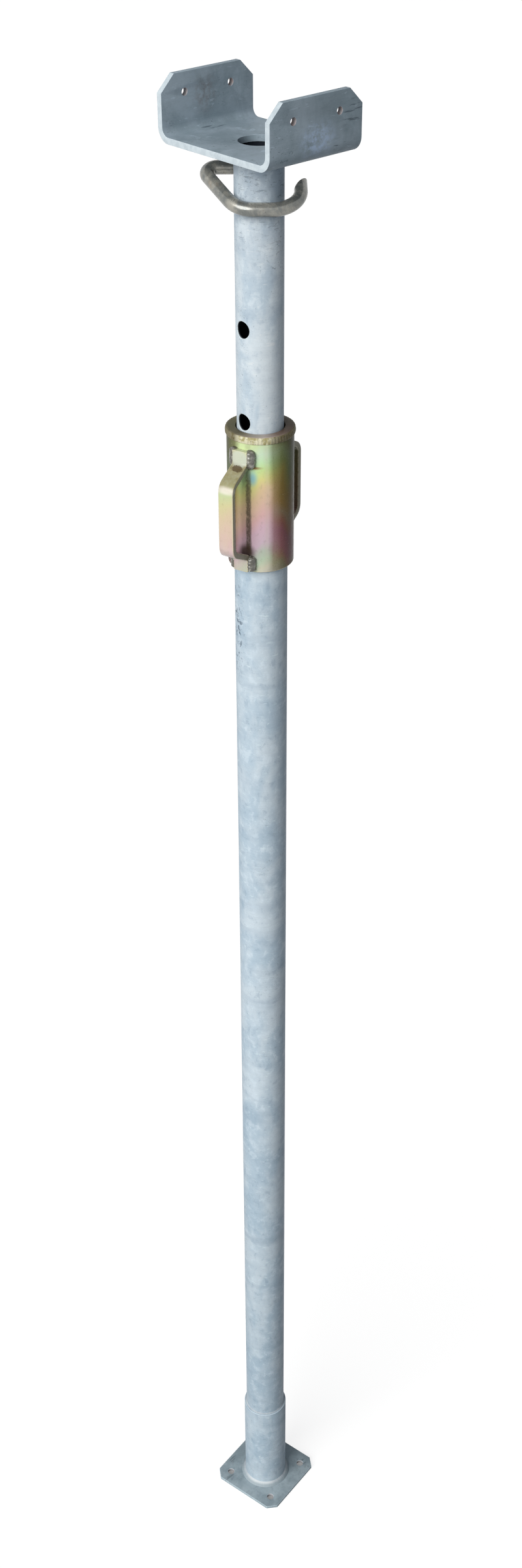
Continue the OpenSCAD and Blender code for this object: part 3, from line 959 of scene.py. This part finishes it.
# %% Yellow zinc
def yellow_zinc(name, wash, rough=(0.28, 0.4), specular=0.08):
    """wash mixes in a paler silver yellow, as flat bar takes the bath."""
    f = Finish(name, roughness=0.3, specular=specular)
    around, wobble, dim = bath(f)
    f.colour = film(f, around, wobble, dim)
    # A thin pale stripe at a fixed angle, at the edge of the lit band: a painted highlight
    f.coat(f.ramp(around, (0.262, 0), (0.28, 0.25), (0.296, 0)), shade(206, 196, 176))
    silver = f.mixed(f.between(f.noise(60, 3, 0.6, (1, 1, 0.5), 1.2), 0.35, 0.65),
                     shade(200, 194, 166), shade(206, 188, 174))
    # The silver wash is strongest where the painted shade is least
    f.coat(f.between(dim, 0, 1, wash, wash * 0.3), silver)
    mottle = f.noise(210, 5, 0.65, (1, 1, 0.8), 6.6)
    f.coat(f.between(mottle, 0.52, 0.72, 0, 0.16), shade(116, 108, 74))
    specks = f.between(f.noise(900, 2, 0.5, shift=3.3), 0.62, 0.7)
    # Dark specks show most where the painted shade is deepest
    f.coat(f.times(specks, f.between(dim, 0, 1, 0.03, 0.35)), shade(62, 60, 40))
    f.coat(f.between(f.noise(760, 2, 0.5, shift=6.1), 0.66, 0.74), shade(226, 222, 196), 0.18)
    # Rounded corners painted paler: bare metal from wear, and a painted highlight
    wear_and_rim_highlight = f.between(f.noise(300, 3, 0.6, shift=9.1), 0.3, 0.55, 0.2, 0.8)
    f.coat(f.times(f.mark("edge"), wear_and_rim_highlight), shade(222, 214, 182))
    # Painted shade on the upper slope and the narrow sides of the handles
    slope_shade = f.between(mottle, 0.3, 0.7, 0.6, 0.85)
    f.coat(f.times(f.mark("slope"), slope_shade), shade(140, 127, 78))
    f.coat(f.mark("side"), shade(116, 112, 82), 0.8)
    f.surface(mottle, rough, (mottle, 0.0002, 0.2), (f.noise(1100, 3, 0.6), 0.00006, 0.25))
    return f


# %% Marks on the nut and its handles
HANDLE_TURN = math.radians(16.8)
LEFT = math.pi + HANDLE_TURN           # angle of the left handle


def on_nut(degrees_on, height, off=0.0):
    """A place so many degrees on from the left handle, above the nut's foot and off its side."""
    return (*polar(nut_r + off, LEFT + math.radians(degrees_on)), nut_foot + height)


def nut_finish():
    """A brown run beside the top weld, and a painted reflection of the handle as a dark strip
    beside it.
    """
    f = yellow_zinc("yellow zinc nut", 0.0)
    f.coat(f.spot(on_nut(18, 0.105), (0.007, 0.007, 0.011), 0.9), shade(146, 204, 222), 0.8)
    f.coat(f.spot(on_nut(20, 0.1165), (0.012, 0.012, 0.0026), 0.95), shade(150, 92, 42), 0.9)
    f.coat(f.spot(on_nut(12, 0.1165), (0.006, 0.006, 0.004), 0.8), shade(78, 48, 32), 0.8)
    grain = f.between(f.noise(420, 4, 0.7, (1, 1, 0.6), 2.7), 0.3, 0.6)
    around = f.maths("MULTIPLY_ADD", grain, 0.004, angle_round(f))
    # Painted reflection of the left handle: a dark strip beside it on the nut
    side = f.ramp(around, (0.178, 0), (0.187, 1), (0.203, 1), (0.211, 0))
    long = f.ramp(f.maths("SUBTRACT", f.height(), nut_foot),
                  (0.016, 0), (0.026, 1), (0.1, 0.9), (0.117, 0.2))
    handle_reflection = f.times(f.times(side, long), f.between(grain, 0, 1, 0.75, 1))
    f.coat(handle_reflection, shade(96, 86, 72), 0.92)
    # The painted reflection widens near the handle's foot
    f.coat(f.spot(on_nut(6, 0.022), (0.0125, 0.0125, 0.013), 0.7), shade(74, 60, 46), 0.9)
    return f.done()


def handle_finish():
    """Silvery at the top foot, painted shade in the hollow bend below it, and a painted highlight
    at the bend of the grip.
    """
    f = yellow_zinc("yellow zinc handles", 0.5, (0.2, 0.32), 0.35)
    foot = f.spot(on_nut(0, 0.1265, 0.006), (0.0115, 0.0115, 0.0105), 0.35)
    f.coat(foot, shade(206, 214, 204), 0.6)
    # Painted highlight on the bend at the top of the grip
    bend_highlight = f.spot(on_nut(0, 0.1025, 0.033), (0.009, 0.018, 0.0056), 0.75)
    f.coat(bend_highlight, shade(255, 246, 236), 0.62)
    # Painted shade in the hollow bend below the top foot, with a ragged edge
    crease_shade = f.spot(on_nut(0, 0.1174, 0.0105), (0.009, 0.0135, 0.0066), 1.0)
    ragged = f.maths("MULTIPLY_ADD", f.noise(380, 4, 0.7, shift=2.7), 0.8, crease_shade)
    f.coat(f.between(ragged, 0.72, 0.95, 0, 0.9), shade(86, 68, 34))
    return f.done()


nut_zinc, handle_zinc = nut_finish(), handle_finish()

# %% Finishes of the ring and the welds
def ring_finish():
    """The ring took a darker, browner film than the sleeve; round it, the film is paler at the
    front and darker at the sides, partly painted light and shade.
    """
    f = yellow_zinc("yellow zinc ring", 0.2, specular=0.04)
    # Colour by the angle round the ring: its own film, with painted light at the front and painted
    # shade at the sides
    f.coat(0.88, f.ramp(angle_round(f), (0.0, 88, 86, 60), (0.12, 100, 92, 72),
                        (0.19, 146, 132, 124), (0.27, 182, 168, 166), (0.34, 132, 112, 104),
                        (0.42, 76, 58, 50), (0.5, 62, 48, 40), (0.75, 108, 98, 72),
                        (1.0, 88, 86, 60)))
    return f.done()


def bead_finish(name, most, rest, patch, rough, painted_shade_share, specular):
    """Weld metal: patches of two shades, and pores; painted_shade_share dims it with the nut's
    painted shade.
    """
    f = Finish(name, roughness=rough, specular=specular)
    patches = f.noise(patch, 4, 0.6, shift=3.7, twist=0.6)
    f.colour = f.mixed(f.between(patches, 0.36, 0.54), shade(*rest), shade(*most))
    # Painted shade by the angle round the nut, as on its film
    f.coat(bath(f)[2], shade(86, 76, 50), painted_shade_share)
    pores = f.between(f.noise(900, 2, 0.5, shift=8.8), 0.62, 0.7)
    f.coat(pores, shade(72, 64, 48), 0.5)
    f.surface(patches, (rough, rough + 0.2), (patches, 0.0003, 0.4), (pores, -0.0001, 0.4))
    return f.done()


ring_zinc = ring_finish()
pale_bead = bead_finish("yellow zinc over the ring weld", (224, 220, 190), (176, 168, 122),
                        190, 0.36, 0.85, 0.08)
dark_bead = bead_finish("dark zinc over handle welds", (80, 78, 68), (150, 150, 140),
                        170, 0.16, 0.3, 1.0)

# %% Ring and sleeve of the nut
RING_BORE, SKIRT = tube_r - WALL + 0.0001, tube_r + 0.0016
top_ring = lathe("nut_ring_turned", rounded(
    [(RING_BORE, ring_foot), (nut_r, ring_foot), (nut_r, ring_top, 0.0011),
     (RING_BORE, ring_top, 0.0006)], 0.0003))
nut_body = lathe("nut_sleeve_turned", rounded(
    [(SKIRT, nut_foot), (nut_r, nut_foot), (nut_r, sleeve_top, 0.0003),
     (SKIRT, sleeve_top, 0.0003)], 0.001))

# %% [markdown]
# ## The thread
# The outer tube carries a coarse thread that the nut climbs. At rest the nut
# hides it, and it comes into view as the nut goes up. It is a helix, so
# Geometry Nodes make it from a spiral, with a flat-topped ridge swept along
# it. The same tree makes the short thread inside the nut, with its ridge
# pointing in. The two keep a small gap, as rolled threads do.

# %% Thread tree
def thread_tree():
    tree, given = new_tree("coarse thread", profile="object", radius="number", foot="number",
                           turns="number", pitch="number", finish="material")
    rise = maths(tree, "MULTIPLY", given["turns"], given["pitch"])
    spiral = add(tree, "GeometryNodeCurveSpiral", {"Resolution": 96, "Rotations": given["turns"],
                 "Start Radius": given["radius"], "End Radius": given["radius"], "Height": rise})
    lift = add(tree, "ShaderNodeCombineXYZ", {"Z": given["foot"]})
    raised = add(tree, "GeometryNodeSetPosition", {"Geometry": spiral.outputs[0],
                 "Offset": lift.outputs[0]})
    upright = add(tree, "GeometryNodeSetCurveNormal", {"Curve": raised.outputs[0]}, mode="Z_UP")
    part = tree.nodes.new("GeometryNodeSplineParameter").outputs["Factor"]
    from_end = maths(tree, "MINIMUM", part, maths(tree, "SUBTRACT", 1.0, part))
    run_out = add(tree, "ShaderNodeMapRange", {"Value": maths(tree, "MULTIPLY", from_end,
                  given["turns"]), "From Max": 0.5, "To Min": 0.25})
    swept = add(tree, "GeometryNodeCurveToMesh", {"Curve": upright.outputs[0],
                "Profile Curve": curve_of(tree, given["profile"]),
                "Scale": run_out.outputs[0], "Fill Caps": True})
    return end_tree(tree, swept.outputs[0], given["finish"])


screw_tree = thread_tree()
RIDGE = 0.0024                         # half the width of a ridge at its root


def thread(name, core, crest, foot, top, finish):
    """A ridge from just under the core radius to the crest radius."""
    high, pitch = crest - core, THREAD["pitch"]
    root = -math.copysign(0.0003, high)
    shape = rounded([(root, -RIDGE), (high, -RIDGE / 2), (high, RIDGE / 2), (root, RIDGE)],
                    0.0003, 2)
    profile = guide(name + " profile", [([(x, y, 0) for x, y, _ in shape], True)])
    piece = run_tree(screw_tree, name, profile=profile, radius=core, foot=foot + RIDGE,
                     turns=(top - foot - 2 * RIDGE) / pitch, pitch=pitch, finish=finish)
    put_away(profile)
    return point_outwards(piece, 30)


tube_thread = thread("outer_tube_thread", THREAD["core"], tube_r, THREAD["foot"], THREAD["top"],
                     galvanised)
nut_thread = thread("nut_thread", SKIRT, tube_r + 0.0004, nut_foot + 0.001, nut_foot + 0.038,
                    nut_zinc)

# %% [markdown]
# ## Two handles
# Each handle is flat bar, bent four times so that fingers fit behind it. The
# bar keeps its section round every bend, so it is swept: a rectangle with
# small round corners follows a line of straights and arcs. The foot and the
# top of that line are read from the box of the solid.

# %% Bent line of a handle
handle_foot, handle_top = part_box("left_handle")[0].z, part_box("left_handle")[1].z
BAR_WIDE, BAR_THICK, FOOT_LONG, GRIP, SPACE = 0.0175, 0.006, 0.0155, 0.073, 0.028
RISE = (handle_top - handle_foot - GRIP) / 2 - FOOT_LONG
BENDS = [0, 0.0065, 0.011, 0.011, 0.0065]
FIT = 0.00005                          # between the nut and what is welded on it


def bent_line(corners, steps=9):
    points = [corners[0]]
    for i in range(1, len(corners) - 1):
        points += arc(*corners[i - 1:i + 2], BENDS[i], steps)
    return points + [corners[-1]]


def frames_along(points, place, across):
    """Turns points of a flat line into frames; place maps (u, v) into space."""
    frames = []
    for i, (u, v) in enumerate(points):
        before, after = points[max(i - 1, 0)], points[min(i + 1, len(points) - 1)]
        ahead = (place(*after) - place(*before)).normalized()
        frames.append((place(u, v), across, ahead.cross(across)))
    return frames


def handle(name, turn):
    near, far = nut_r + FIT + BAR_THICK / 2, nut_r + SPACE + BAR_THICK / 2
    a = handle_foot + FOOT_LONG
    b, c = a + RISE, a + RISE + GRIP
    line = bent_line([(near, handle_foot), (near, a), (far, b), (far, c), (near, c + RISE),
                      (near, c + RISE + FOOT_LONG)])
    out, across = Vector((*polar(1, turn), 0)), Vector((-math.sin(turn), math.cos(turn), 0))
    place = lambda u, v: out * u + Vector((0, 0, v))
    w, t = BAR_WIDE / 2, BAR_THICK / 2
    section = rounded([(-w, -t), (w, -t), (w, t), (-w, t)], 0.0009, 3)
    piece = sweep(name, frames_along(line, place, across), section, 0.0005)
    # slope marks the upward faces of the upper slope, for its painted shade
    numbers(piece.data, "slope", "POINT",
            [min(1.0, max(0.0, v.normal.z) * 2) if c - 0.004 < v.co.z < c + RISE + 0.004 else 0.0
             for v in piece.data.vertices])
    # side marks the narrow sides, for their painted shade
    numbers(piece.data, "side", "FACE",
            [float(abs(face.normal.dot(across)) > 0.8) for face in piece.data.polygons])
    return piece


left_handle = handle("left_handle_bar", LEFT)
right_handle = handle("right_handle_bar", HANDLE_TURN)

# %% Welds on the nut
BEAD_R, BEAD_STEPS = 0.0054, 48
BEAD_SPANS = ((handle_foot - 0.0008, handle_foot + 0.0168),
              (handle_top - 0.0188, handle_top + 0.0014))


def foot_beads():
    """Eight upright guide lines, in the corner between a handle's foot and the nut."""
    lines = []
    for turn in (LEFT, HANDLE_TURN):
        for side in (-1, 1):
            for start, end in BEAD_SPANS:
                out, along = nut_r + 0.00035, side * (BAR_WIDE / 2 + 0.0006)
                x = out * math.cos(turn) - along * math.sin(turn)
                y = out * math.sin(turn) + along * math.cos(turn)
                lines.append(([(x, y, start + (end - start) * k / BEAD_STEPS)
                               for k in range(BEAD_STEPS + 1)], False))
    return lines


def half_round(out, up, count=12):
    """A bead on a wall, flatter than a half circle."""
    turns = [math.pi * k / count for k in range(1, count)]
    return ([(0, -up, 0)] + [(out * math.sin(a) ** 0.7, -up * math.cos(a), math.sin(a))
                             for a in turns] + [(0, up, 0)])


round_bead = [(*polar(BEAD_R, math.tau * k / 32), 1.0) for k in range(32)]
handle_beads = weld("handle_weld_beads", foot_beads(), round_bead, dark_bead,
                    4.5, 0.00022, 0.0045, 0.0009, taper=1.0, seed=2.0)
nut_ring_weld = weld("nut_ring_bead", [ring(nut_r + FIT, ring_foot + 0.0019, 480)],
                     half_round(0.0012, 0.0036), pale_bead, 64, 0.00018, 0.0034, 0.0012, seed=9.0)

# %% [markdown]
# ## The hook
# The pin is a round bar bent into a hook that hangs round the tube. Its
# middle line is drawn like a walk: so far ahead, then a bend of so many
# degrees, and so on, in a plane that leans down at the front. The free end
# is sheared, so its last ring is cut at a slant and leaves a point.

# %% Walk along the hook
def walk(steps, x, y, heading):
    """steps are (ahead in mm, bend radius in mm, bend to the left in degrees)."""
    points = [(x, y)]
    for ahead, radius, bend in steps:
        x, y = x + ahead * math.cos(heading), y + ahead * math.sin(heading)
        points.append((x, y))
        count = math.ceil(bend / 6)
        start, x0, y0 = heading, x, y
        for k in range(1, count + 1):
            heading = start + math.radians(bend) * k / count
            x = x0 + radius * (math.sin(heading) - math.sin(start))
            y = y0 - radius * (math.cos(heading) - math.cos(start))
            points.append((x, y))
    return points


ROD, CORNER, FRONT = 13.0, 10.0, 28.0  # bar and its bends, in mm
LEAN, HOOK_TURN, SLANT = 19.5, -42.0, 61.0
HANG = 0.037                           # middle of the bar, below the head
SHEAR = 6.8 / (ROD / 2)                # the free end is longest on the outside of the bend
cos_slant, sin_slant = math.cos(math.radians(SLANT)), math.sin(math.radians(SLANT))
REACH = (INNER_R * 1000 + ROD / 2 + 0.35) / math.cos(math.radians(LEAN))
SIDE = (2 * REACH - CORNER * (1 + cos_slant) - FRONT * (1 - cos_slant)) / sin_slant
hook_line = walk([(58, CORNER, 180 - SLANT), (SIDE, FRONT, SLANT), (15.5, FRONT, 92), (8, 0, 0)],
                 18, REACH, math.pi)


def hook_piece():
    middle = (Matrix.Translation((0, 0, head_foot - HANG))
              @ Matrix.Rotation(math.radians(HOOK_TURN), 4, "Z")
              @ Matrix.Rotation(math.radians(LEAN), 4, "X"))
    place = lambda u, v: middle @ Vector((u / 1000, v / 1000, 0))
    across = (middle.to_3x3() @ Vector((0, 0, 1))).normalized()
    section = [(*polar(ROD / 2000, math.tau * k / 32), 0) for k in range(32)]
    return sweep("hook_rod", frames_along(hook_line, place, across), section, 0.0004, SHEAR)


hook = hook_piece()

# %% Finish of the hook
def bar_steel():
    f = Finish("bare bar steel", 0.3, 0.26, 1.0)
    clouds = f.noise(60, 5, 0.62, shift=5.2, twist=0.4)
    f.colour = f.mixed(f.between(clouds, 0.35, 0.65), shade(108, 112, 110), shade(162, 160, 150))
    f.coat(f.between(f.noise(110, 4, 0.7, shift=11.3), 0.56, 0.72, 0, 0.35), shade(128, 108, 84))
    pits = f.between(f.noise(700, 3, 0.6, shift=3.9), 0.6, 0.72)
    f.coat(pits, shade(62, 60, 56), 0.5)
    f.coat(f.between(f.noise(260, 4, 0.7, shift=8.1), 0.6, 0.68, 0, 0.35), shade(176, 178, 172))
    f.coat(f.mark("edge"), shade(150, 150, 144), 0.5)
    f.surface(clouds, (0.2, 0.3), (clouds, 0.0003, 0.15), (pits, -0.0001, 0.5))
    return f.done()


hook_steel = bar_steel()

# %% [markdown]
# ## Put the pieces on the frame
# Every piece gets its finish, rides on the body that moves it, and takes the
# place of the plain solid. The rings that carry the turning of the tube and
# the screw of the nut ride on their own bodies, as in the frame.

# %% Finishes, bodies and slots
PLACES = [
    (foot_plate, plate_zinc, "outer", "galvanised", ["base_plate"]),
    (foot_weld, None, "outer", "galvanised", ["base_weld"]),
    (rim_run, None, "outer", "galvanised", []),
    (foot_sleeve, galvanised, "outer", "galvanised", ["base_sleeve"]),
    (outer_tube, galvanised, "outer", "galvanised", ["outer_tube"]),
    (tube_thread, None, "outer", "galvanised", []),
    (inner_tube, None, "inner", "bright_zinc", ["inner_tube"]),
    (head, head_zinc, "inner", "head_zinc", ["head_bracket"]),
    (head_weld, None, "tube_carrier", "head_zinc", ["head_weld"]),
    (top_ring, ring_zinc, "nut_carrier", "yellow_zinc", ["nut_top_ring"]),
    (nut_body, nut_zinc, "nut", "yellow_zinc", ["nut_sleeve"]),
    (nut_thread, None, "nut", "yellow_zinc", []),
    (nut_ring_weld, None, "nut", "yellow_zinc", ["nut_ring_weld"]),
    (left_handle, handle_zinc, "nut", "yellow_zinc", ["left_handle"]),
    (right_handle, handle_zinc, "nut", "yellow_zinc", ["right_handle"]),
    (handle_beads, None, "nut", "yellow_zinc",
     [f"{side}_{place}_weld_{end}" for side in ("left", "right")
      for place in ("top", "foot") for end in ("front", "rear")]),
    (hook, hook_steel, "hook", "bare_steel", ["g_hook"]),
]
for piece, finish, body, slot, nodes in PLACES:
    if finish:
        piece.data.materials.clear()
        piece.data.materials.append(finish)
    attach(piece, body)
    if nodes:
        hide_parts(*nodes)
triangles = sum(len(p.vertices) - 2 for piece, *_ in PLACES for p in piece.data.polygons)
print(len(PLACES), "pieces,", triangles, "triangles")

# %% [markdown]
# ## Floor and light
# The floor is pale and wide. Its own colour stays modest, so it throws little
# light up, and it shows as white to the camera and in gloss, where it still
# keeps the soft shadow. It glows less under the bolt holes, which would shine
# through otherwise. One broad sun from the left front models the tubes, and a
# dim sky fills the dark side.

# %% Floor
def seen_rays(tree):
    """1 for camera, glossy and transmission rays."""
    rays = tree.nodes.new("ShaderNodeLightPath").outputs
    glossy = maths(tree, "MAXIMUM", rays["Is Glossy Ray"], rays["Is Transmission Ray"])
    return maths(tree, "MAXIMUM", rays["Is Camera Ray"], glossy)


def pale_floor(size=40.0):
    bm = bmesh.new()
    bmesh.ops.create_grid(bm, x_segments=8, y_segments=8, size=size)
    floor = new_piece("floor", bm, fix=False)
    f = Finish("pale floor")
    f.tree.nodes.remove(f.shader)
    seen = seen_rays(f.tree)
    plain = f.add("ShaderNodeBsdfDiffuse",
                  {"Color": f.mixed(seen, (0.42, 0.42, 0.43), (0.3, 0.3, 0.3))})
    # Painted shade under the plate, seen through the bolt holes
    shaded = 0.0
    for (x, y, _), *_ in bolt_holes:
        shaded = f.maths("MAXIMUM", shaded, f.spot((x, y, 0), (0.013, 0.013, 0.013), 0.3))
    glow = f.add("ShaderNodeEmission",
                 {"Strength": f.times(seen, f.between(shaded, 0, 1, 0.84, 0.2))})
    both = f.add("ShaderNodeAddShader", {0: plain.outputs[0], 1: glow.outputs[0]})
    f.tree.links.new(both.outputs[0], f.tree.nodes["Material Output"].inputs["Surface"])
    floor.data.materials.append(f.material)
    floor.location.z = -0.0005         # a hair below the foot plate
    return floor


floor = pale_floor()
print("floor:", floor.dimensions[:])

# %% Light
def studio(key=2.95, sky=0.17):
    sun = bpy.data.lights.new("key", "SUN")
    sun.energy, sun.angle, sun.color = key, math.radians(45), (1.0, 0.985, 0.96)
    lamp = placed("key", sun)
    towards = Vector((-0.974, -0.23, 0.52)).normalized()
    lamp.rotation_euler = towards.to_track_quat("Z", "Y").to_euler()
    world = bpy.data.worlds.new("studio")
    bpy.context.scene.world = world
    world.use_nodes = True
    tree = world.node_tree
    tree.nodes.clear()
    colour = mixed(tree, seen_rays(tree), (sky * 0.95, sky, sky * 1.06), (1.0, 1.0, 1.0))
    back = add(tree, "ShaderNodeBackground", {"Color": colour, "Strength": 1.0})
    add(tree, "ShaderNodeOutputWorld", {"Surface": back.outputs[0]})
    return lamp


key_light = studio()
bpy.context.scene.view_settings.view_transform = "Standard"
print("key light strength", key_light.data.energy)
